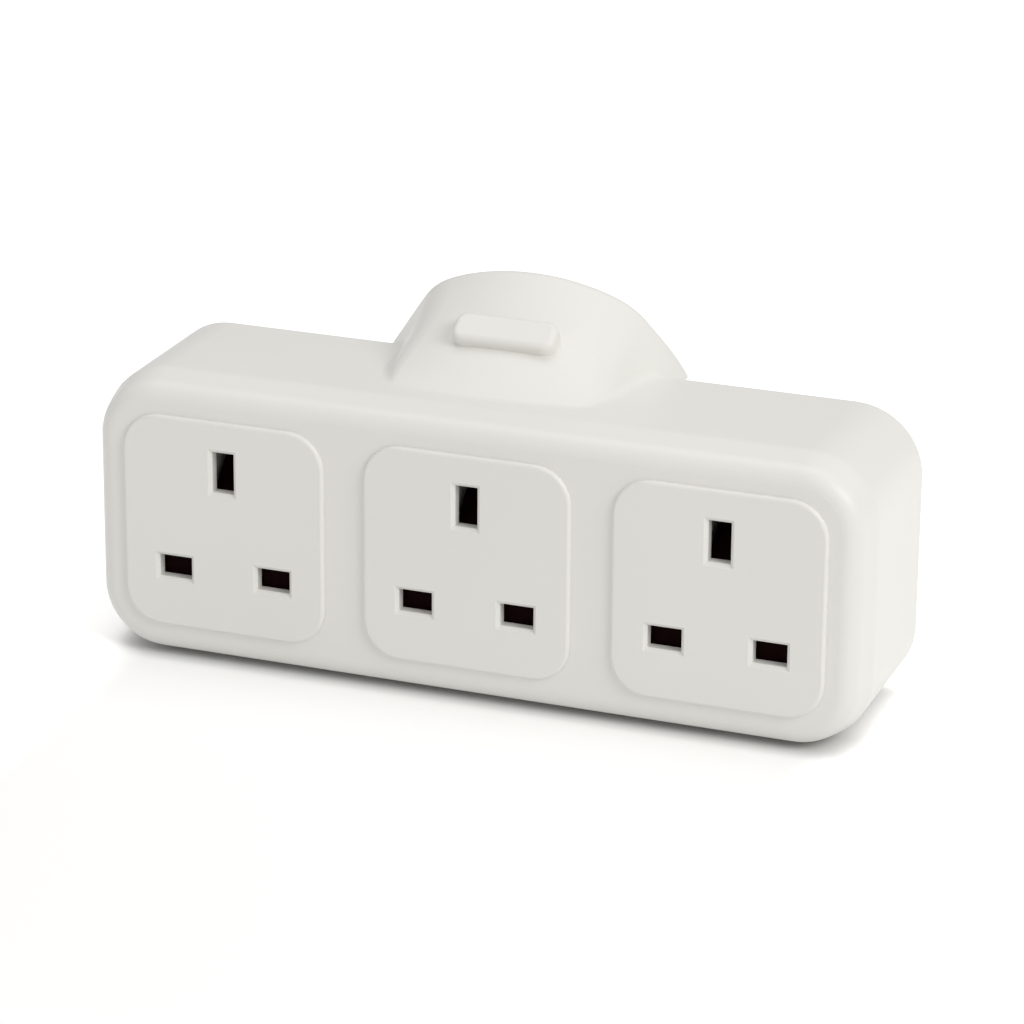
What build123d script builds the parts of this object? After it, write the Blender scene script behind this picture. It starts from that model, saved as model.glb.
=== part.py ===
from build123d import *
import math
import os

# Three-way plug-in adaptor for 13 A plugs, in millimetres.
# +X runs along the row of sockets, +Y points at the wall, +Z is up.
# The origin is the centre of the flat underside.

# Bar body
body_width = 168.3
body_height = 61.8
body_depth = 40.4
body_corner_radius = 14.5
wall = 2.2
front_wall = 1.8
bevel_depth = 8.2
bevel_inset = 2.0
front_edge_radius = 4.0
bevel_edge_radius = 6.0
rear_edge_radius = 0.5

# Sockets
end_margin = 7.75
socket_rise = 1.05
line_pin_spacing = 22.2
earth_pin_rise = 22.23
earth_slot_width = 4.8
earth_slot_height = 8.8
line_slot_width = 7.2
line_slot_height = 4.8
slot_bevel = 0.75
pad_width = 45.0
pad_height = 46.5
pad_radius = 8.0
pad_rise = 1.0
pad_edge_radius = 0.7

# Hump, which turns into the round plug body
plug_offset = -2.0
plug_radius = 33.4
plug_centre_drop = 14.1
plug_reach = 9.3
hump_root = 5.8
hump_rim_reach = 3.8
slope_lead_in = 3.5
slope_behind_bevel = 6.5
slope_before_rear = 5.7
rim_start = 1.3
foot_radius = 2.5
lean_start_drop = 0.4
lean_run = 7.5
lean_rise = 19.5
rim_radius = 1.5
face_wall = 2.4
plate_thickness = 2.5

# Thumb bar on the hump
thumb_length = 22.5
thumb_height = 7.4
thumb_rise = 2.7
thumb_root = 1.5
thumb_edge_radius = 1.3
thumb_end_radius = 2.6
thumb_setback = 12.8
thumb_sink = 0.5

# Plug pins
line_pin_width = 6.35
line_pin_thickness = 4.0
line_pin_length = 17.7
earth_pin_width = 4.0
earth_pin_height = 8.0
earth_pin_length = 22.7
plug_pins_drop = 9.25
pin_tip_bevel = 0.9
sleeve_wall = 0.4
sleeve_length = 9.2
pin_flange_margin = 1.4
pin_flange_thickness = 2.0
pin_tail_margin = 0.4
pin_tail_length = 5.1

# Shutters and their springs
shutter_thickness = 1.95
shutter_front_gap = 0.35
shutter_rear_gap = 0.3
shutter_travel = 6.0
shutter_side_cover = 1.2
shutter_top_cover = 0.8
shutter_bottom_cover = 1.6
shutter_stem_width = 6.6
shutter_foot_height = 2.0
ramp_width = 6.0
ramp_start_gap = 0.5
ramp_run = 6.2
ramp_end = 0.8
ramp_root = 3.0
spring_coil_diameter = 4.2
spring_wire_diameter = 0.4
spring_turns = 4
spring_closed_gap = 0.3
spring_seat_thickness = 1.0

# Inner moulding that holds the contacts
carrier_thickness = 1.8
carrier_edge_gap = 1.9
carrier_corner_radius = 9.0
cell_wall = 1.2
cell_gap = 0.4
cell_height_gap = 0.9
rib_thickness = 1.2

# Conductors
strip_thickness = 0.8
strip_height = 5.0
strip_offset = 3.4
strip_gap = 1.5
strip_end = 3.0
leaf_thickness = 0.6
leaf_pinch = 0.15
leaf_flare = 1.2
leaf_width = 6.0
line_leaf_length = 9.0
earth_leaf_height = 7.0
earth_leaf_length = 12.2
strap_width = 4.6
bend_radius = 1.2
strap_margin = 0.4
strap_gap = 0.6

# Fuse and its insert
fuse_length = 25.4
fuse_cap_diameter = 6.36
fuse_cap_length = 5.6
fuse_cap_end = 0.3
fuse_barrel_diameter = 6.0
fuse_gap = 0.5
insert_width = 33.0
insert_height = 9.4
insert_thickness = 1.8
insert_radius = 1.0
insert_fit = 0.2
insert_ledge = 1.0
cradle_length = 10.0
cradle_wall = 1.0
cradle_grip = 1.6
cradle_snap = 0.4
pull_notch_width = 6.0
pull_notch_depth = 0.8
clip_gap = 0.3
clip_thickness = 0.6
clip_reach = 1.5

# Screws and their posts
screw_beside_hump = 8.6
screw_below_top = 5.6
screw_to_cover_edge = 0.5
screw_from_end = 4.95
post_radius = 3.2
post_collar_radius = 4.4
pilot_radius = 1.3
pilot_depth = 13.5
screw_shank_radius = 1.2
screw_shank_length = 12.0
screw_hole_radius = 1.6
screw_head_radius = 2.6
screw_head_height = 1.3
screw_head_gap = 0.3
screw_slot_width = 0.8
screw_slot_depth = 0.7

# Ribs of the rear cover that press on the conductors
rib_inward = 15.9
rib_outward = 8.1
earth_rib_inward = 3.9
press_rib_width = 6.0
press_rib_height = 3.0

# Clearances
fit_gap = 0.2
run_gap = 0.3
cut_margin = 1.0

# Depths worked out from the sizes above
front_y = -body_depth / 2
rear_y = body_depth / 2
pad_y = front_y - pad_rise
bevel_y = front_y + bevel_depth
front_inner_y = front_y + front_wall
plate_y = rear_y - plate_thickness
face_y = rear_y + plug_reach
face_inner_y = face_y - face_wall
shutter_y = front_inner_y + shutter_front_gap
shutter_rear_y = shutter_y + shutter_thickness
carrier_y = shutter_rear_y + shutter_rear_gap
carrier_rear_y = carrier_y + carrier_thickness
line_strip_y = pad_y + line_pin_length + strip_gap
earth_strip_y = pad_y + earth_pin_length + strip_gap
line_strip_rear_y = line_strip_y + strip_thickness
earth_strip_rear_y = earth_strip_y + strip_thickness
pin_flange_y = face_inner_y - pin_flange_thickness
pin_tail_y = pin_flange_y - pin_tail_length
insert_y = face_y - insert_thickness
fuse_y = insert_y - fuse_gap - fuse_cap_diameter / 2
hump_rim_y = rear_y + hump_rim_reach
slope_front_y = bevel_y + slope_behind_bevel
slope_rear_y = rear_y - slope_before_rear
slope_middle_y = (slope_front_y + slope_rear_y) / 2
rim_start_y = rear_y + rim_start
thumb_y = rear_y - thumb_setback
ramp_y = shutter_y + ramp_start_gap
ramp_rear_y = ramp_y + ramp_run + ramp_end
spring_y = front_inner_y + run_gap + spring_coil_diameter / 2
spring_rear_y = spring_y + spring_coil_diameter / 2

# Heights worked out from the sizes above
socket_centre_height = body_height / 2 + socket_rise
plug_centre_height = body_height - plug_centre_drop
plug_pins_height = plug_centre_height - plug_pins_drop
hump_floor = body_height - hump_root
lean_start_height = body_height - lean_start_drop
line_row = socket_centre_height - earth_pin_rise / 2
earth_row = socket_centre_height + earth_pin_rise / 2
plug_line_row = plug_pins_height - earth_pin_rise / 2
plug_earth_row = plug_pins_height + earth_pin_rise / 2
fuse_row = (plug_line_row + line_pin_thickness / 2 + plug_earth_row - earth_pin_height / 2) / 2
root_height = body_height - wall
pad_centre_height = body_height / 2
wing_low = line_row - line_slot_height / 2 - shutter_bottom_cover
wing_top = line_row + line_slot_height / 2 + shutter_top_cover
ramp_low = earth_row - earth_pin_height / 2 - run_gap
ramp_top = ramp_low + ramp_run
spring_rest_length = shutter_travel + spring_turns * spring_wire_diameter + spring_closed_gap
spring_low = wing_low - spring_rest_length
live_strip_low = line_row + strip_offset
neutral_strip_low = line_row - strip_offset - strip_height
neutral_strap_height = live_strip_low - strap_gap - strip_thickness / 2
load_strap_height = fuse_row - fuse_cap_diameter / 2 - clip_gap

# Places along the row
socket_pitch = (body_width - pad_width) / 2 - end_margin
line_half = line_pin_spacing / 2
wing_half = line_half + line_slot_width / 2 + shutter_side_cover
socket_places = {"left": -socket_pitch, "middle": 0.0, "right": socket_pitch}
live_places = [place + line_half for place in socket_places.values()]
neutral_places = [place - line_half for place in socket_places.values()]
live_pin_x = plug_offset + line_half
neutral_pin_x = plug_offset - line_half
cap_offset = (fuse_length - fuse_cap_length) / 2
low_screw_height = wall + fit_gap + screw_to_cover_edge + screw_head_gap + screw_head_radius
inner_rib = socket_pitch - rib_inward
outer_rib = socket_pitch + rib_outward
live_rib_places = [-inner_rib, inner_rib, outer_rib]
neutral_rib_places = [-outer_rib, -inner_rib, inner_rib]
earth_rib_places = [earth_rib_inward - socket_pitch, socket_pitch - earth_rib_inward]
case_screw_places = []
for side in (-1, 1):
    case_screw_places.append((side * (plug_radius + screw_beside_hump), root_height - screw_below_top))
    case_screw_places.append((side * socket_pitch / 2, low_screw_height))
    case_screw_places.append((side * (body_width / 2 - wall - screw_from_end), body_height / 2))


def upright(y):
    """The plane across the object at depth y, seen from the front."""
    return Plane(origin=(0, y, 0), x_dir=(1, 0, 0), z_dir=(0, -1, 0))


def slab(profile, near_y, far_y):
    """A profile drawn in X and Z, given depth from near_y to far_y."""
    return extrude(upright(far_y) * profile, amount=far_y - near_y)


def block(x_low, x_high, y_low, y_high, z_low, z_high):
    """A square-edged block between two depths, widths and heights."""
    size = Box(x_high - x_low, y_high - y_low, z_high - z_low)
    return Pos((x_low + x_high) / 2, (y_low + y_high) / 2, (z_low + z_high) / 2) * size


def bar(x, z, width, height, near_y, far_y):
    """A rectangular bar along Y, centred at x and z."""
    return slab(Pos(x, z) * Rectangle(width, height), near_y, far_y)


def rod(x, z, radius, near_y, far_y):
    return slab(Pos(x, z) * Circle(radius), near_y, far_y)


def cross_rod(x_low, x_high, radius):
    """A round bar along X on the fuse's axis."""
    plane = Plane(origin=(x_low, fuse_y, fuse_row), x_dir=(0, 1, 0), z_dir=(1, 0, 0))
    return extrude(plane * Circle(radius), amount=x_high - x_low)


def side_profile(points, x_low, x_high):
    """A closed outline in Y and Z, given width from x_low to x_high."""
    plane = Plane(origin=(x_low, 0, 0), x_dir=(0, 1, 0), z_dir=(1, 0, 0))
    return extrude(plane * Polygon(*points, align=None), amount=x_high - x_low, dir=(1, 0, 0))


def bent_strip(points, thickness, x_low, x_high):
    """A folded strip whose middle line is drawn in Y and Z."""
    plane = Plane(origin=(x_low, 0, 0), x_dir=(0, 1, 0), z_dir=(1, 0, 0))
    flat = trace(FilletPolyline(*points, radius=bend_radius), line_width=thickness)
    return extrude(plane * flat, amount=x_high - x_low, dir=(1, 0, 0))


def near_depth(shape, y, tolerance=0.01):
    """The edges of a shape that lie wholly at depth y."""
    found = []
    for edge in shape.edges():
        box = edge.bounding_box()
        if abs(box.min.Y - y) < tolerance and abs(box.max.Y - y) < tolerance:
            found.append(edge)
    return found


# Bar body: straight behind the bevel, drawn in towards the front
def body_form(inset, near_y, far_y):
    middle = body_height / 2
    width = body_width - 2 * inset
    height = body_height - 2 * inset
    corner = body_corner_radius - inset
    drawn_in = bevel_inset * (bevel_y - near_y) / bevel_depth
    small = RectangleRounded(width - 2 * drawn_in, height - 2 * drawn_in, corner - drawn_in)
    large = RectangleRounded(width, height, corner)
    front_end = upright(near_y) * Pos(0, middle) * small
    rear_end = upright(bevel_y) * Pos(0, middle) * large
    return loft([front_end, rear_end], ruled=True) + slab(Pos(0, middle) * large, bevel_y, far_y)


# Hump stations: depth, crown rise, foot half width, crown radius, shoulder radius, flank lean in degrees
hump_stations = [
    (slope_front_y - slope_lead_in, -0.85, 20.9, 260.0, 1.0, 7.0),
    (slope_front_y, 1.15, 21.7, 170.0, 2.0, 8.0),
    (slope_middle_y, 7.3, 24.6, 70.0, 8.0, 20.0),
    (slope_rear_y, 14.1, 26.5, 46.0, 13.0, 28.0),
    (rim_start_y, 19.2, 29.9, 39.2, 15.6, 31.9),
    (face_y + cut_margin, 19.2, 30.0, 39.2, 15.6, 31.9),
]
thinnest_shoulder = 0.4


def hump_section(y, rise, half_width, crown_radius, shoulder_radius, lean, inset):
    """One section of the hump: leaning flanks, round shoulders and a crown."""
    lean = math.radians(lean)
    inward = Vector(-math.cos(lean), -math.sin(lean))
    upward = Vector(-math.sin(lean), math.cos(lean))
    foot = Vector(half_width, body_height) + inward * inset
    crown = crown_radius - inset
    shoulder = max(shoulder_radius - inset, thinnest_shoulder)
    top = body_height + rise - inset
    crown_centre = Vector(0, top - crown)
    start = foot + inward * shoulder - crown_centre
    reach = crown - shoulder
    along = start.X * upward.X + start.Y * upward.Y
    gap = start.X ** 2 + start.Y ** 2 - reach ** 2
    climb = -along + math.sqrt(along ** 2 - gap)
    shoulder_centre = foot + inward * shoulder + upward * climb
    flank_top = shoulder_centre - inward * shoulder
    outward = (shoulder_centre - crown_centre).normalized()
    crown_end = crown_centre + outward * crown
    middle = (outward + inward * -1).normalized()
    shoulder_middle = shoulder_centre + middle * shoulder
    flank_low = foot - upward * ((foot.Y - hump_floor) / upward.Y)
    right = [(point.X, point.Y) for point in (flank_low, flank_top, shoulder_middle, crown_end)]
    left = [(-across, up) for across, up in right]
    outline = [
        Line(right[0], right[1]),
        ThreePointArc(right[1], right[2], right[3]),
        ThreePointArc(right[3], (0, top), left[3]),
        ThreePointArc(left[3], left[2], left[1]),
        Line(left[1], left[0]),
        Line(left[0], right[0]),
    ]
    return upright(y) * Pos(plug_offset, 0) * make_face(outline)


def hump_form(inset):
    """The hump as a smooth skin over its stations, thinned all round by inset."""
    return loft([hump_section(*station, inset) for station in hump_stations])


def arch(inset, near_y, far_y):
    """The hump's rear arch, straight along its depth."""
    section = hump_section(far_y, *hump_stations[-1][1:], inset)
    return extrude(section, amount=far_y - near_y)


def lean_envelope(setback):
    """Everything in front of the plug face and of the finger slope above it."""
    back = face_y - setback
    points = [
        (2 * front_y, -body_height),
        (back, -body_height),
        (back, lean_start_height),
        (back - 2 * lean_run, lean_start_height + 2 * lean_rise),
        (2 * front_y, lean_start_height + 2 * lean_rise),
    ]
    return side_profile(points, -body_width, body_width)


def on_lean(edge):
    """Whether an edge lies on the finger slope, above the bar body."""
    middle = edge.position_at(0.5)
    back = face_y - (middle.Z - lean_start_height) * lean_run / lean_rise
    box = edge.bounding_box()
    return abs(middle.Y - back) < 0.02 and box.max.Z > body_height + 1.0


# Front casing: bar body and hump in one moulding, hollow, with pads, slots, thumb bar and screw posts
def casing_outside():
    body = body_form(0, front_y, rear_y)
    body = fillet(near_depth(body, front_y), front_edge_radius)
    body = fillet(near_depth(body, bevel_y), bevel_edge_radius)
    hump = hump_form(0) & lean_envelope(0)
    below = (rear_y, face_y + cut_margin, 0, root_height)
    hump -= block(-body_width, body_width, *below)
    hump = fillet([edge for edge in hump.edges() if on_lean(edge)], rim_radius)
    whole = body + hump
    whole = fillet(foot_edges(whole), foot_radius)
    return fillet(rear_edges(whole), rear_edge_radius)


def foot_edges(shape):
    """The edges where the hump rises out of the top of the bar body."""
    found = []
    for edge in shape.edges():
        box = edge.bounding_box()
        flat = abs(box.max.Z - body_height) < 0.1 and abs(box.min.Z - body_height) < 0.1
        inside = box.max.Y < rear_y - rear_edge_radius and box.min.Y > bevel_y
        beside = box.min.X > plug_offset - plug_radius and box.max.X < plug_offset + plug_radius
        if flat and inside and beside:
            found.append(edge)
    return found


def rear_edges(shape):
    """The rear outline of the bar body, without the hump's own edges."""
    found = []
    for edge in near_depth(shape, rear_y):
        box = edge.bounding_box()
        beside = box.min.X < plug_offset - plug_radius or box.max.X > plug_offset + plug_radius
        if beside and box.max.Z < body_height + 0.1:
            found.append(edge)
    return found


def pad(x):
    outline = Pos(x, pad_centre_height) * RectangleRounded(pad_width, pad_height, pad_radius)
    solid = slab(outline, pad_y, front_y + pad_rise)
    return fillet(near_depth(solid, pad_y), pad_edge_radius)


def slot(x, z, width, height):
    """A pin slot through the front wall, opened out at the pad's face."""
    outer = upright(pad_y) * Pos(x, z) * Rectangle(width + 2 * slot_bevel, height + 2 * slot_bevel)
    inner = upright(pad_y + slot_bevel) * Pos(x, z) * Rectangle(width, height)
    mouth = loft([outer, inner], ruled=True)
    lip = bar(x, z, width + 2 * slot_bevel, height + 2 * slot_bevel, pad_y - cut_margin, pad_y)
    return mouth + lip + bar(x, z, width, height, pad_y, front_inner_y + cut_margin)


def thumb_bar():
    before = hump_stations[2]
    after = hump_stations[3]
    share = (thumb_y - before[0]) / (after[0] - before[0])
    rise = before[1] + share * (after[1] - before[1]) - thumb_sink
    run = Vector(0, after[0] - before[0], after[1] - before[1]).normalized()
    middle = (plug_offset, thumb_y, body_height + rise)
    plane = Plane(origin=middle, x_dir=(1, 0, 0), z_dir=(0, -run.Z, run.Y))
    outline = RectangleRounded(thumb_length, thumb_height, thumb_end_radius)
    solid = extrude(plane.offset(-thumb_root) * outline, amount=thumb_root + thumb_rise)
    top = solid.faces().sort_by(Axis(plane.origin, plane.z_dir))[-1]
    return fillet(top.edges(), thumb_edge_radius)


def front_casing():
    outside = casing_outside()
    shell = outside + thumb_bar()
    hollow = body_form(wall, front_inner_y, rear_y + cut_margin)
    hollow = fillet(near_depth(hollow, front_inner_y), front_edge_radius - front_wall)
    shell -= hollow
    shell -= hump_form(wall)
    for x in socket_places.values():
        shell += pad(x)
    for x, z in case_screw_places:
        post = rod(x, z, post_collar_radius, front_inner_y - cut_margin, carrier_y)
        post += rod(x, z, post_radius, front_inner_y - cut_margin, plate_y)
        shell += post & outside
        shell -= rod(x, z, pilot_radius, plate_y - pilot_depth, plate_y + cut_margin)
    for x in socket_places.values():
        shell -= slot(x, earth_row, earth_slot_width, earth_slot_height)
        shell -= slot(x - line_half, line_row, line_slot_width, line_slot_height)
        shell -= slot(x + line_half, line_row, line_slot_width, line_slot_height)
    return shell


# Rear cover: flat plate set into the casing, with the round plug body standing on it
def boss_form(inset, near_y, upper_y, far_y):
    """The round body: full size below the casing's hump, fitted inside it above."""
    lower = rod(plug_offset, plug_centre_height, plug_radius - inset, near_y, far_y)
    lower -= block(-body_width, body_width, near_y, far_y, root_height - fit_gap - inset, 3 * root_height)
    upper = arch(wall + fit_gap + inset, upper_y, far_y)
    return lower + upper


def rear_cover():
    margin = wall + fit_gap
    size = (body_width - 2 * margin, body_height - 2 * margin)
    outline = RectangleRounded(*size, body_corner_radius - margin)
    cover = slab(Pos(0, body_height / 2) * outline, plate_y, rear_y)
    cover += boss_form(0, plate_y, hump_rim_y, face_y) & lean_envelope(0)
    hollow_y = plate_y - cut_margin
    cover -= boss_form(face_wall, hollow_y, hollow_y, face_inner_y) & lean_envelope(face_wall)
    for x in live_rib_places:
        middle = live_strip_low + strip_height / 2
        cover += bar(x, middle, press_rib_width, press_rib_height, line_strip_rear_y + run_gap, plate_y)
    for x in neutral_rib_places:
        middle = neutral_strip_low + strip_height / 2
        cover += bar(x, middle, press_rib_width, press_rib_height, line_strip_rear_y + run_gap, plate_y)
    for x in earth_rib_places:
        cover += bar(x, earth_row, press_rib_width, press_rib_height, earth_strip_rear_y + run_gap, plate_y)
    head_y = rear_y - screw_head_height
    for x, z in case_screw_places:
        cover -= rod(x, z, screw_hole_radius, plate_y - cut_margin, rear_y + cut_margin)
        cover -= rod(x, z, screw_head_radius + screw_head_gap, head_y, rear_y + cut_margin)
    for x, z, width, height in plug_pin_sections():
        cover -= bar(x, z, width + fit_gap, height + fit_gap, plate_y, face_y + cut_margin)
    pocket_size = (insert_width + 2 * insert_fit, insert_height + 2 * insert_fit)
    pocket = Pos(plug_offset, fuse_row) * RectangleRounded(*pocket_size, insert_radius + insert_fit)
    cover -= slab(pocket, insert_y, face_y + cut_margin)
    window_width = insert_width - 2 * insert_ledge
    window_height = insert_height - 2 * insert_ledge
    cover -= bar(plug_offset, fuse_row, window_width, window_height, face_inner_y - cut_margin, face_y)
    return cover


def plug_pin_sections():
    return [
        (plug_offset, plug_earth_row, earth_pin_width, earth_pin_height),
        (live_pin_x, plug_line_row, line_pin_width, line_pin_thickness),
        (neutral_pin_x, plug_line_row, line_pin_width, line_pin_thickness),
    ]


# Plug pins: blade through the plug face, flange against its inside, tail for the conductor
def plug_pin(x, z, width, height, length, neck):
    tip_y = face_y + length
    blade = bar(x, z, width, height, face_y + neck, tip_y)
    blade = chamfer(near_depth(blade, tip_y), pin_tip_bevel)
    margin = sleeve_wall if neck else 0
    stalk = bar(x, z, width - 2 * margin, height - 2 * margin, pin_flange_y, face_y + neck)
    flange_width = width + 2 * pin_flange_margin
    flange = bar(x, z, flange_width, height + 2 * pin_flange_margin, pin_flange_y, face_inner_y)
    tail_width = width - 2 * pin_tail_margin
    tail = bar(x, z, tail_width, height - 2 * pin_tail_margin, pin_tail_y, pin_flange_y)
    return blade + stalk + flange + tail


def pin_sleeve(x):
    end_y = face_y + sleeve_length
    bore_width = line_pin_width - 2 * sleeve_wall
    bore_height = line_pin_thickness - 2 * sleeve_wall
    outside = bar(x, plug_line_row, line_pin_width, line_pin_thickness, face_inner_y, end_y)
    bore = (face_inner_y - cut_margin, end_y + cut_margin)
    return outside - bar(x, plug_line_row, bore_width, bore_height, *bore)


# Contacts: a spring leaf on each side of the pin, standing on a common strip
def leaf_line(half, side, back_y, length):
    """The middle line of one leaf, from the strip to its opened-out front end."""
    near = side * (half + leaf_thickness / 2 - leaf_pinch)
    wide = side * (half + leaf_thickness / 2 + leaf_flare)
    front_y_end = back_y - length
    return [(back_y, near), (front_y_end + 2 * leaf_flare, near), (front_y_end, wide)]


def line_contact(x, strip_low):
    half = line_pin_thickness / 2
    base_half = half + leaf_thickness - leaf_pinch
    low = min(line_row - base_half, strip_low)
    high = max(line_row + base_half, strip_low + strip_height)
    contact = block(x - leaf_width / 2, x + leaf_width / 2, line_strip_y, line_strip_rear_y, low, high)
    for side in (-1, 1):
        points = [(y, line_row + z) for y, z in leaf_line(half, side, line_strip_y, line_leaf_length)]
        contact += bent_strip(points, leaf_thickness, x - leaf_width / 2, x + leaf_width / 2)
    return contact


def line_busbar(places, strip_low):
    ends = (min(places) - strip_end, max(places) + strip_end)
    busbar = block(*ends, line_strip_y, line_strip_rear_y, strip_low, strip_low + strip_height)
    for x in places:
        busbar += line_contact(x, strip_low)
    return busbar


def earth_busbar():
    half_height = earth_leaf_height / 2
    ends = (-socket_pitch - strip_end, socket_pitch + strip_end)
    rows = (earth_row - half_height, earth_row + half_height)
    busbar = block(*ends, earth_strip_y, earth_strip_rear_y, *rows)
    plane = Plane(origin=(0, 0, rows[0]), x_dir=(1, 0, 0), z_dir=(0, 0, 1))
    for x in socket_places.values():
        for side in (-1, 1):
            line = leaf_line(earth_pin_width / 2, side, earth_strip_y, earth_leaf_length)
            points = [(x + across, y) for y, across in line]
            flat = trace(FilletPolyline(*points, radius=bend_radius), line_width=leaf_thickness)
            busbar += extrude(plane * flat, amount=earth_leaf_height, dir=(0, 0, 1))
    return busbar


# Straps from the busbars to the plug pins and the fuse
def neutral_strap():
    lap = strip_thickness / 2
    points = [
        (pin_tail_y - lap, plug_line_row + line_pin_thickness / 2 - strap_margin),
        (pin_tail_y - lap, neutral_strap_height),
        (line_strip_rear_y + lap, neutral_strap_height),
        (line_strip_rear_y + lap, neutral_strip_low + strap_margin),
    ]
    ends = (neutral_pin_x - strap_width / 2, neutral_pin_x + strap_width / 2)
    return bent_strip(points, strip_thickness, *ends)


def earth_strap():
    lap = strip_thickness / 2
    low = plug_earth_row - earth_pin_height / 2 + strap_margin
    points = [
        (earth_strip_rear_y + lap, earth_row - earth_leaf_height / 2 + strap_margin),
        (earth_strip_rear_y + lap, low),
        (pin_tail_y - lap, low),
        (pin_tail_y - lap, plug_earth_row + earth_pin_height / 2 - pin_tail_margin),
    ]
    return bent_strip(points, strip_thickness, plug_offset - strap_width / 2, plug_offset + strap_width / 2)


def load_strap():
    lap = strip_thickness / 2
    x = plug_offset - cap_offset
    clip_front_y = pin_tail_y - clip_thickness
    points = [
        (line_strip_rear_y + lap, live_strip_low + strap_margin),
        (line_strip_rear_y + lap, load_strap_height),
        (clip_front_y - lap, load_strap_height),
        (clip_front_y - lap, fuse_row + fuse_cap_diameter / 2),
    ]
    return bent_strip(points, strip_thickness, x - strap_width / 2, x + strap_width / 2)


# Fuse clips: two leaves over the fuse cap on a flat back
def clip_leaves(x):
    half = fuse_cap_diameter / 2 + clip_gap
    ends = (x - strap_width / 2, x + strap_width / 2)
    front = pin_tail_y - clip_thickness
    low = fuse_row - half - clip_thickness
    high = fuse_row + half + clip_thickness
    back = block(*ends, front, pin_tail_y, low, high)
    lower = block(*ends, front, fuse_y + clip_reach, low, low + clip_thickness)
    upper = block(*ends, front, fuse_y + clip_reach, high - clip_thickness, high)
    return back + lower + upper


def supply_clip():
    x = plug_offset + cap_offset
    low = plug_line_row - line_pin_thickness / 2 + pin_tail_margin
    ends = (x - strap_width / 2, x + strap_width / 2)
    return clip_leaves(x) + block(*ends, pin_tail_y - clip_thickness, pin_tail_y, low, fuse_row)


# Fuse: ceramic barrel between two metal caps
def fuse_barrel():
    half = fuse_length / 2 - fuse_cap_end
    return cross_rod(plug_offset - half, plug_offset + half, fuse_barrel_diameter / 2)


def fuse_caps():
    half = fuse_length / 2
    radius = fuse_cap_diameter / 2
    left = cross_rod(plug_offset - half, plug_offset - half + fuse_cap_length, radius)
    right = cross_rod(plug_offset + half - fuse_cap_length, plug_offset + half, radius)
    return left + right - fuse_barrel()


def fuse_carrier():
    outline = Pos(plug_offset, fuse_row) * RectangleRounded(insert_width, insert_height, insert_radius)
    carrier = slab(outline, insert_y, face_y)
    ends = (plug_offset - cradle_length / 2, plug_offset + cradle_length / 2)
    reach = fuse_barrel_diameter / 2 + run_gap + cradle_wall
    high = min(reach, insert_height / 2 - insert_ledge - fit_gap)
    saddle = block(*ends, fuse_y - cradle_grip, insert_y, fuse_row - high, fuse_row + high)
    saddle -= cross_rod(*ends, fuse_barrel_diameter / 2 + run_gap / 2)
    throat = fuse_barrel_diameter / 2 - cradle_snap
    saddle -= block(*ends, fuse_y - cradle_grip - cut_margin, fuse_y, fuse_row - throat, fuse_row + throat)
    notch_row = fuse_row + (insert_height - pull_notch_depth) / 2
    notch_y = face_y - pull_notch_depth
    carrier -= bar(plug_offset, notch_row, pull_notch_width, pull_notch_depth, notch_y, face_y + cut_margin)
    return carrier + saddle


# Shutter: wings behind the two line slots, stem, and a ramp behind the earth slot
def shutter(x):
    plate = (shutter_y, shutter_rear_y)
    wings = block(x - wing_half, x + wing_half, *plate, wing_low, wing_top)
    stem_half = shutter_stem_width / 2
    stem = block(x - stem_half, x + stem_half, *plate, wing_low, ramp_low - ramp_root)
    foot_half = spring_coil_diameter / 2 + run_gap
    foot_top = wing_low + shutter_foot_height
    foot = block(x - foot_half, x + foot_half, shutter_y, spring_rear_y, wing_low, foot_top)
    points = [
        (shutter_y, ramp_low - ramp_root),
        (shutter_y, ramp_low - ramp_start_gap),
        (ramp_y, ramp_low),
        (ramp_y + ramp_run, ramp_top),
        (ramp_rear_y, ramp_top),
        (ramp_rear_y, ramp_top - ramp_root),
        (shutter_rear_y, ramp_low - ramp_root),
    ]
    return wings + stem + foot + side_profile(points, x - ramp_width / 2, x + ramp_width / 2)


def shutter_spring(x):
    half_wire = spring_wire_diameter / 2
    height = spring_rest_length - spring_wire_diameter
    radius = spring_coil_diameter / 2 - half_wire
    coil = Helix(height / spring_turns, height, radius, center=(x, spring_y, spring_low + half_wire))
    section = Plane(origin=coil @ 0, z_dir=coil % 0) * RegularPolygon(half_wire, 6)
    return sweep(section, path=coil)


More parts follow.
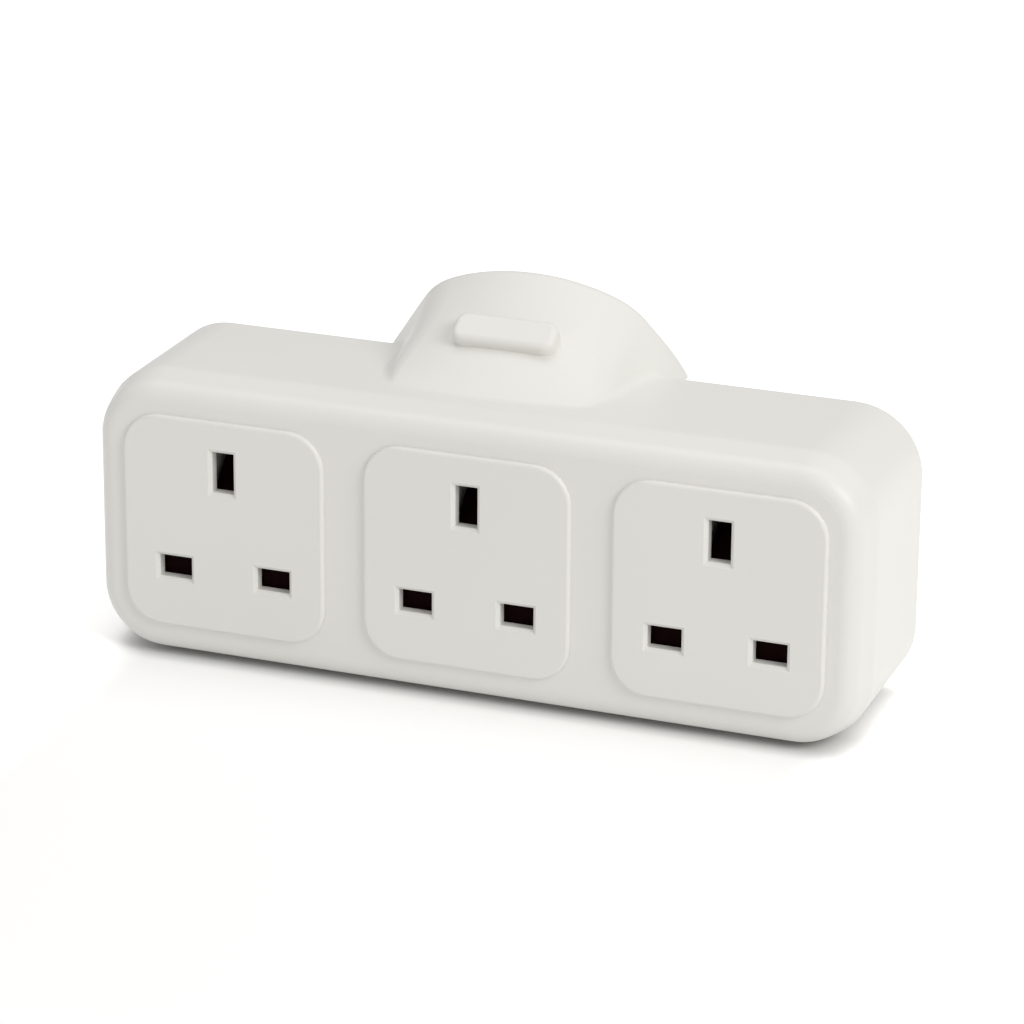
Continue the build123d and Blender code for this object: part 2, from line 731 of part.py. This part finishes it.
# Inner moulding: plate with a cell behind each slot, shutter guides and spring ledges
def contact_carrier():
    margin = wall + carrier_edge_gap
    outline = RectangleRounded(body_width - 2 * margin, body_height - 2 * margin, carrier_corner_radius)
    carrier = slab(Pos(0, body_height / 2) * outline, carrier_y, carrier_rear_y)
    line_cell_width = leaf_width + 2 * cell_gap
    line_cell_height = line_pin_thickness + 2 * (leaf_thickness + leaf_flare + cell_gap)
    earth_cell_width = earth_pin_width + 2 * (leaf_thickness + leaf_flare + cell_gap)
    earth_cell_height = earth_leaf_height + 2 * cell_height_gap
    line_back_y = line_strip_y - run_gap
    earth_back_y = earth_strip_y - run_gap
    cells = []
    for x in live_places + neutral_places:
        cells.append((x, line_row, line_cell_width, line_cell_height, line_back_y))
    for x in socket_places.values():
        cells.append((x, earth_row, earth_cell_width, earth_cell_height, earth_back_y))
    for x, z, width, height, back_y in cells:
        carrier += bar(x, z, width + 2 * cell_wall, height + 2 * cell_wall, carrier_y, back_y)
    for x, z, width, height, back_y in cells:
        carrier -= bar(x, z, width, height, carrier_y - cut_margin, back_y + cut_margin)
    for x in socket_places.values():
        carrier = guide_shutter(carrier, x)
    for x, z in case_screw_places:
        carrier -= rod(x, z, post_radius + run_gap, carrier_y - cut_margin, carrier_rear_y + cut_margin)
    return carrier


def guide_shutter(carrier, x):
    guide = (front_inner_y + run_gap, carrier_y)
    side = wing_half + run_gap
    slot_half = shutter_stem_width / 2 + run_gap
    stop = (wing_top + run_gap, wing_top + run_gap + rib_thickness)
    wing_lowest = wing_low - shutter_travel
    for way in (-1, 1):
        outer = sorted([x + way * side, x + way * (side + rib_thickness)])
        carrier += block(*outer, *guide, wing_lowest, stop[1])
        inner = sorted([x + way * (slot_half + run_gap), x + way * (side + rib_thickness)])
        carrier += block(*inner, *guide, *stop)
    ramp_slot = (carrier_y - cut_margin, ramp_rear_y + run_gap)
    lowest = ramp_low - ramp_root - shutter_travel - run_gap
    carrier -= block(x - slot_half, x + slot_half, *ramp_slot, lowest, earth_row)
    seat_half = spring_coil_diameter / 2 + 2 * run_gap
    window = (carrier_y - cut_margin, carrier_rear_y + cut_margin)
    window_top = wing_low + shutter_foot_height + run_gap
    carrier -= block(x - seat_half, x + seat_half, *window, spring_low, window_top)
    ledge = (front_inner_y + run_gap, spring_rear_y + run_gap)
    ledge_half = seat_half + cell_wall
    ledge_low = spring_low - spring_seat_thickness
    return carrier + block(x - ledge_half, x + ledge_half, *ledge, ledge_low, spring_low)


# Screws: slotted pan heads sunk in the rear cover
def case_screws():
    screws = []
    head_y = rear_y - screw_head_height
    for x, z in case_screw_places:
        screw = rod(x, z, screw_head_radius, head_y, rear_y)
        screw += rod(x, z, screw_shank_radius, head_y - screw_shank_length, head_y)
        reach = screw_head_radius + cut_margin
        screw -= bar(x, z, 2 * reach, screw_slot_width, rear_y - screw_slot_depth, rear_y + cut_margin)
        screws.append(screw.solid())
    return Compound(children=screws)


earth_pin_size = (earth_pin_width, earth_pin_height, earth_pin_length)
line_pin_size = (line_pin_width, line_pin_thickness, line_pin_length)
parts = {
    "front_casing": front_casing(),
    "rear_cover": rear_cover(),
    "contact_carrier": contact_carrier(),
    "earth_pin": plug_pin(plug_offset, plug_earth_row, *earth_pin_size, 0),
    "live_busbar": line_busbar(live_places, live_strip_low),
    "neutral_busbar": line_busbar(neutral_places, neutral_strip_low),
    "earth_busbar": earth_busbar(),
    "neutral_strap": neutral_strap(),
    "earth_strap": earth_strap(),
    "load_strap": load_strap(),
    "supply_clip": supply_clip(),
    "load_clip": clip_leaves(plug_offset - cap_offset),
    "fuse_barrel": fuse_barrel(),
    "fuse_caps": fuse_caps(),
    "fuse_carrier": fuse_carrier(),
    "case_screws": case_screws(),
}
for side, x in {"live": live_pin_x, "neutral": neutral_pin_x}.items():
    parts[side + "_pin"] = plug_pin(x, plug_line_row, *line_pin_size, sleeve_length)
    parts[side + "_pin_sleeve"] = pin_sleeve(x)
for place, x in socket_places.items():
    parts["shutter_" + place] = shutter(x)
    parts["shutter_spring_" + place] = shutter_spring(x)

os.makedirs("parts", exist_ok=True)
for name, shape in parts.items():
    export_step(shape, "parts/" + name + ".step")
    print(name, len(shape.solids()), shape.is_valid, round(shape.volume, 1))
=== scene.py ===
import bpy
import math
from mathutils import Matrix, Vector


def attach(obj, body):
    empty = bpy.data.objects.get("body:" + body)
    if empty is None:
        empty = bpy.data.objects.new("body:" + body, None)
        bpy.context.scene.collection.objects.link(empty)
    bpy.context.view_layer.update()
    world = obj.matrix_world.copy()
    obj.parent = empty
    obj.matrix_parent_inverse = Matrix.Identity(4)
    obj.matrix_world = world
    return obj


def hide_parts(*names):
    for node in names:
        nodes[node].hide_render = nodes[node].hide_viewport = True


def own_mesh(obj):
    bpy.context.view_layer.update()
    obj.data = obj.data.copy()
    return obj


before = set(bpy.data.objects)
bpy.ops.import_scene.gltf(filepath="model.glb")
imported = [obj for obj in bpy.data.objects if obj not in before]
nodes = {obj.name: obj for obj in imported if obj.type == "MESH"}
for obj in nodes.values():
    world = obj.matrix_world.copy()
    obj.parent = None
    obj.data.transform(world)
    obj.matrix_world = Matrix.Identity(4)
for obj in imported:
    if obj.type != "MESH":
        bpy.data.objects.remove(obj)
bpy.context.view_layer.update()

print("frame loaded:", len(nodes), "nodes")


# camera: the angles and lens that put every slot where the photo has it
cameraSettings = {
    "azimuth": 20.439,
    "elevation": 20.432,
    "roll": 0.472,
    "distance": 0.860651,
    "target": (0.009876, -0.0205, 0.043382),
    "lens": 150.02,
    "sensor": 36.0,
    "clip": (0.01, 50),
}


def addCamera(settings):
    azimuth = math.radians(settings["azimuth"])
    elevation = math.radians(settings["elevation"])
    roll = math.radians(settings["roll"])
    back = Vector((math.sin(azimuth) * math.cos(elevation),
                   -math.cos(azimuth) * math.cos(elevation),
                   math.sin(elevation)))
    right = Vector((math.cos(azimuth), math.sin(azimuth), 0))
    up = back.cross(right)
    rolledRight = right * math.cos(roll) + up * math.sin(roll)
    rolledUp = up * math.cos(roll) - right * math.sin(roll)
    data = bpy.data.cameras.new("photoCamera")
    data.lens = settings["lens"]
    data.sensor_width = settings["sensor"]
    data.clip_start, data.clip_end = settings["clip"]
    camera = bpy.data.objects.new("photoCamera", data)
    bpy.context.scene.collection.objects.link(camera)
    turn = Matrix((rolledRight, rolledUp, back)).transposed().to_4x4()
    place = Vector(settings["target"]) + back * settings["distance"]
    camera.matrix_world = Matrix.Translation(place) @ turn
    bpy.context.scene.camera = camera


addCamera(cameraSettings)
print("camera placed")


# floor, world and lamps
floorSettings = {
    "size": 6.0,
    "color": (0.88, 0.88, 0.88, 1),
    "whiteFront": 1.08,  # what the camera sees before the object: lit floor just white, shadow kept
    "whiteBack": 1.52,  # and beside and behind it, where the lamps reach less
    "frontY": -0.026,  # where the rise starts and ends, front to back
    "backY": 0.006,
    "middleX": 0.070,  # and from the middle outwards
    "sideX": 0.088,
    "nearRadius": 0.16,  # and with distance
    "outerRadius": 0.35,
    "farRadius": 3.0,
    "farGain": 2.2,  # more white at the far edge, where only the world lights the floor
    "contactReach": 0.0048,  # how far the painted contact shadow under the edges spreads
    "contactShade": 0.60,  # how dark that painted contact shadow gets
    "contactSamples": 16,
}
worldSettings = {
    "light": (1.0, 0.995, 0.985, 1),
    "strength": 0.48,
    "backdrop": (1, 1, 1, 1),
    "backdropStrength": 1.0,
}
lampSettings = {
    "key": {"place": (0.95, -0.40, 0.75), "aim": (0, 0, 0.03), "size": 0.60, "power": 6.1,
            "color": (1.0, 0.99, 0.97)},
    "frontFill": {"place": (-0.55, -1.1, 0.35), "aim": (0, 0, 0.03), "size": 0.9, "power": 1.25,
                  "color": (1.0, 1.0, 1.0)},
    "top": {"place": (-0.1, 0.1, 1.1), "aim": (0, 0, 0.03), "size": 0.9, "power": 3.0,
            "color": (1.0, 1.0, 1.0)},
}


def addRamp(tree, source, low, high, smooth=False):
    # low and high are (input, output) pairs
    ramp = tree.nodes.new("ShaderNodeMapRange")
    if smooth:
        ramp.interpolation_type = "SMOOTHSTEP"
    ramp.inputs["From Min"].default_value = low[0]
    ramp.inputs["To Min"].default_value = low[1]
    ramp.inputs["From Max"].default_value = high[0]
    ramp.inputs["To Max"].default_value = high[1]
    tree.links.new(source, ramp.inputs["Value"])
    return ramp.outputs["Result"]


def addMath(tree, operation, *sources):
    mathNode = tree.nodes.new("ShaderNodeMath")
    mathNode.operation = operation
    for socket, source in zip(mathNode.inputs, sources):
        tree.links.new(source, socket)
    return mathNode.outputs[0]


def addFloor(settings):
    bpy.ops.object.select_all(action="DESELECT")
    bpy.ops.mesh.primitive_plane_add(size=settings["size"], location=(0, 0, 0))
    floor = bpy.context.active_object
    floor.name = "studioFloor"
    material = bpy.data.materials.new("studioFloor")
    material.use_nodes = True
    tree = material.node_tree
    tree.nodes.clear()
    add = tree.nodes.new
    link = tree.links.new
    output = add("ShaderNodeOutputMaterial")
    diffuse = add("ShaderNodeBsdfDiffuse")
    # white rises from before the object to its sides and back
    place = add("ShaderNodeTexCoord").outputs["Object"]
    split = add("ShaderNodeSeparateXYZ")
    link(place, split.inputs[0])
    behind = addRamp(tree, split.outputs["Y"], (settings["frontY"], 0), (settings["backY"], 1), smooth=True)
    across = addMath(tree, "ABSOLUTE", split.outputs["X"])
    beside = addRamp(tree, across, (settings["middleX"], 0), (settings["sideX"], 1), smooth=True)
    radius = add("ShaderNodeVectorMath")
    radius.operation = "LENGTH"
    link(place, radius.inputs[0])
    distance = radius.outputs["Value"]
    away = addRamp(tree, distance, (settings["nearRadius"], 0), (settings["outerRadius"], 1), smooth=True)
    around = addMath(tree, "MAXIMUM", addMath(tree, "MAXIMUM", behind, beside), away)
    near = addRamp(tree, around, (0, settings["whiteFront"]), (1, settings["whiteBack"]))
    farEnd = (settings["farRadius"], settings["farGain"])
    gain = addRamp(tree, distance, (settings["outerRadius"], 1), farEnd)
    white = addMath(tree, "MULTIPLY", near, gain)
    # painted contact shadow: the floor's seen colour darkens by ambient occlusion where the object meets it
    contact = add("ShaderNodeAmbientOcclusion")
    contact.samples = settings["contactSamples"]
    contact.inputs["Distance"].default_value = settings["contactReach"]
    paintedContactShadow = addRamp(tree, contact.outputs["AO"], (0, 1 - settings["contactShade"]), (1, 1))
    # camera and mirror rays see the white floor, light bounces off the plain one
    tone = add("ShaderNodeMix")
    tone.data_type = "RGBA"
    tone.inputs["A"].default_value = settings["color"]
    link(addMath(tree, "MULTIPLY", white, paintedContactShadow), tone.inputs["B"])
    path = add("ShaderNodeLightPath")
    seen = addMath(tree, "MAXIMUM", path.outputs["Is Camera Ray"], path.outputs["Is Glossy Ray"])
    seen = addMath(tree, "MAXIMUM", seen, path.outputs["Is Transmission Ray"])
    link(seen, tone.inputs["Factor"])
    link(tone.outputs["Result"], diffuse.inputs["Color"])
    link(diffuse.outputs[0], output.inputs["Surface"])
    floor.data.materials.append(material)


def lightWorld(settings):
    world = bpy.data.worlds.new("studioWorld")
    bpy.context.scene.world = world
    world.use_nodes = True
    tree = world.node_tree
    tree.nodes.clear()
    output = tree.nodes.new("ShaderNodeOutputWorld")
    light = tree.nodes.new("ShaderNodeBackground")
    light.inputs["Color"].default_value = settings["light"]
    light.inputs["Strength"].default_value = settings["strength"]
    backdrop = tree.nodes.new("ShaderNodeBackground")
    backdrop.inputs["Color"].default_value = settings["backdrop"]
    backdrop.inputs["Strength"].default_value = settings["backdropStrength"]
    path = tree.nodes.new("ShaderNodeLightPath")
    mix = tree.nodes.new("ShaderNodeMixShader")
    link = tree.links.new
    link(path.outputs["Is Camera Ray"], mix.inputs["Fac"])
    link(light.outputs[0], mix.inputs[1])
    link(backdrop.outputs[0], mix.inputs[2])
    link(mix.outputs[0], output.inputs["Surface"])


def addLamp(name, settings):
    data = bpy.data.lights.new(name, "AREA")
    data.shape = "DISK"
    data.size = settings["size"]
    data.energy = settings["power"]
    data.color = settings["color"]
    lamp = bpy.data.objects.new(name, data)
    bpy.context.scene.collection.objects.link(lamp)
    place = Vector(settings["place"])
    lamp.location = place
    lamp.rotation_euler = (Vector(settings["aim"]) - place).to_track_quat("-Z", "Y").to_euler()


addFloor(floorSettings)
lightWorld(worldSettings)
for lampName, lampValues in lampSettings.items():
    addLamp(lampName, lampValues)
bpy.context.scene.view_settings.view_transform = "Standard"
print("studio ready")


# finishes: one dictionary for each, all patterns in metres on Object coordinates
finishSettings = {
    "casing": {
        "color": (0.815, 0.807, 0.772), "shade": 0.03, "patchScale": 18,
        "roughness": (0.36, 0.46), "grainScale": 1500, "grainBump": 0.04, "grainDepth": 0.00004,
        "metallic": 0.0, "specular": 0.45,
    },
    "innerMoulding": {
        "color": (0.60, 0.59, 0.56), "shade": 0.05, "patchScale": 30,
        "roughness": (0.45, 0.60), "grainScale": 1200, "grainBump": 0.08, "grainDepth": 0.00005,
        "metallic": 0.0, "specular": 0.4,
    },
    "shutter": {
        "color": (0.006, 0.0009, 0.0010), "shade": 0.30, "patchScale": 60,
        "roughness": (0.42, 0.55), "grainScale": 1600, "grainBump": 0.05, "grainDepth": 0.00004,
        "metallic": 0.0, "specular": 0.02,
    },
    "pinSleeve": {
        "color": (0.020, 0.020, 0.021), "shade": 0.20, "patchScale": 80,
        "roughness": (0.40, 0.52), "grainScale": 1500, "grainBump": 0.08, "grainDepth": 0.00004,
        "metallic": 0.0, "specular": 0.45,
    },
    "fuseInsert": {
        "color": (0.42, 0.035, 0.03), "shade": 0.10, "patchScale": 60,
        "roughness": (0.34, 0.44), "grainScale": 1500, "grainBump": 0.05, "grainDepth": 0.00004,
        "metallic": 0.0, "specular": 0.45,
    },
    "fuseCeramic": {
        "color": (0.80, 0.78, 0.72), "shade": 0.05, "patchScale": 120,
        "roughness": (0.50, 0.62), "grainScale": 2200, "grainBump": 0.10, "grainDepth": 0.00005,
        "metallic": 0.0, "specular": 0.4,
    },
    "pinBrass": {
        "color": (0.72, 0.55, 0.26), "shade": 0.10, "patchScale": 120,
        "roughness": (0.20, 0.34), "grainScale": 900, "grainBump": 0.10, "grainDepth": 0.00003,
        "metallic": 1.0, "specular": 0.5, "stretch": (1.0, 0.05, 1.0),
    },
    "contactBrass": {
        "color": (0.74, 0.58, 0.30), "shade": 0.12, "patchScale": 120,
        "roughness": (0.26, 0.40), "grainScale": 900, "grainBump": 0.10, "grainDepth": 0.00003,
        "metallic": 1.0, "specular": 0.5, "stretch": (0.06, 1.0, 1.0),
    },
    "fuseMetal": {
        "color": (0.66, 0.65, 0.62), "shade": 0.08, "patchScale": 200,
        "roughness": (0.16, 0.28), "grainScale": 1400, "grainBump": 0.08, "grainDepth": 0.00002,
        "metallic": 1.0, "specular": 0.5,
    },
    "screwSteel": {
        "color": (0.55, 0.55, 0.54), "shade": 0.12, "patchScale": 250,
        "roughness": (0.26, 0.40), "grainScale": 1800, "grainBump": 0.12, "grainDepth": 0.00003,
        "metallic": 1.0, "specular": 0.5,
    },
    "springSteel": {
        "color": (0.50, 0.50, 0.49), "shade": 0.12, "patchScale": 300,
        "roughness": (0.22, 0.34), "grainScale": 2000, "grainBump": 0.10, "grainDepth": 0.00002,
        "metallic": 1.0, "specular": 0.5,
    },
}
noiseDetail = {"patch": 3, "grain": 2}


def makeFinish(name, settings):
    material = bpy.data.materials.new(name)
    material.use_nodes = True
    tree = material.node_tree
    tree.nodes.clear()
    add = tree.nodes.new
    link = tree.links.new
    output = add("ShaderNodeOutputMaterial")
    shader = add("ShaderNodeBsdfPrincipled")
    shader.inputs["Metallic"].default_value = settings["metallic"]
    shader.inputs["Specular IOR Level"].default_value = settings["specular"]
    link(shader.outputs[0], output.inputs["Surface"])
    place = add("ShaderNodeTexCoord")
    stretch = add("ShaderNodeMapping")
    stretch.inputs["Scale"].default_value = settings.get("stretch", (1, 1, 1))
    link(place.outputs["Object"], stretch.inputs["Vector"])
    # broad patches: colour drifts a little
    patch = add("ShaderNodeTexNoise")
    patch.inputs["Scale"].default_value = settings["patchScale"]
    patch.inputs["Detail"].default_value = noiseDetail["patch"]
    link(place.outputs["Object"], patch.inputs["Vector"])
    tint = add("ShaderNodeMix")
    tint.data_type = "RGBA"
    darker, lighter = 1 - settings["shade"], 1 + settings["shade"]
    tint.inputs["A"].default_value = (*[c * darker for c in settings["color"]], 1)
    tint.inputs["B"].default_value = (*[min(c * lighter, 1) for c in settings["color"]], 1)
    link(patch.outputs["Fac"], tint.inputs["Factor"])
    link(tint.outputs["Result"], shader.inputs["Base Color"])
    # fine grain: gloss and relief
    grain = add("ShaderNodeTexNoise")
    grain.inputs["Scale"].default_value = settings["grainScale"]
    grain.inputs["Detail"].default_value = noiseDetail["grain"]
    link(stretch.outputs["Vector"], grain.inputs["Vector"])
    gloss = add("ShaderNodeMapRange")
    gloss.inputs["To Min"].default_value = settings["roughness"][0]
    gloss.inputs["To Max"].default_value = settings["roughness"][1]
    link(grain.outputs["Fac"], gloss.inputs["Value"])
    link(gloss.outputs["Result"], shader.inputs["Roughness"])
    relief = add("ShaderNodeBump")
    relief.inputs["Strength"].default_value = settings["grainBump"]
    relief.inputs["Distance"].default_value = settings["grainDepth"]
    link(grain.outputs["Fac"], relief.inputs["Height"])
    link(relief.outputs["Normal"], shader.inputs["Normal"])
    return material


finishes = {name: makeFinish(name, settings) for name, settings in finishSettings.items()}
nodeFinish = {
    "front_casing": "casing",
    "rear_cover": "casing",
    "contact_carrier": "innerMoulding",
    "earth_pin": "pinBrass",
    "live_pin": "pinBrass",
    "neutral_pin": "pinBrass",
    "live_pin_sleeve": "pinSleeve",
    "neutral_pin_sleeve": "pinSleeve",
    "fuse_carrier": "fuseInsert",
    "fuse_barrel": "fuseCeramic",
    "fuse_caps": "fuseMetal",
    "case_screws": "screwSteel",
}
for nodeName, node in nodes.items():
    if nodeName.startswith("shutter_spring"):
        finishName = "springSteel"
    elif nodeName.startswith("shutter"):
        finishName = "shutter"
    else:
        finishName = nodeFinish.get(nodeName, "contactBrass")
    if not node.material_slots:
        node.data.materials.append(finishes[finishName])
    for materialSlot in node.material_slots:
        materialSlot.material = finishes[finishName]
print("finishes given to", len(nodes), "nodes")


# shutter springs: smooth-shaded copies of the solids, riding the housing
springSettings = {
    "sides": ("left", "middle", "right"),
    "lowEnd": 0.008935,  # the end that stays on its seat
    "length": 0.0079,
    "travel": 0.0060,
    "mergeGap": 0.000001,
}


def addSpring(side, settings):
    node = nodes["shutter_spring_" + side]
    piece = bpy.data.objects.new("springCoil_" + side, node.data.copy())
    bpy.context.scene.collection.objects.link(piece)
    bpy.ops.object.select_all(action="DESELECT")
    piece.select_set(True)
    bpy.context.view_layer.objects.active = piece
    bpy.ops.object.mode_set(mode="EDIT")
    bpy.ops.mesh.select_all(action="SELECT")
    bpy.ops.mesh.remove_doubles(threshold=settings["mergeGap"])
    bpy.ops.object.mode_set(mode="OBJECT")
    bpy.ops.object.shade_smooth_by_angle()
    piece.select_set(False)
    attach(piece, "housing")
    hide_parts("shutter_spring_" + side)
    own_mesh(piece)


for springSide in springSettings["sides"]:
    addSpring(springSide, springSettings)
print("springs ready")
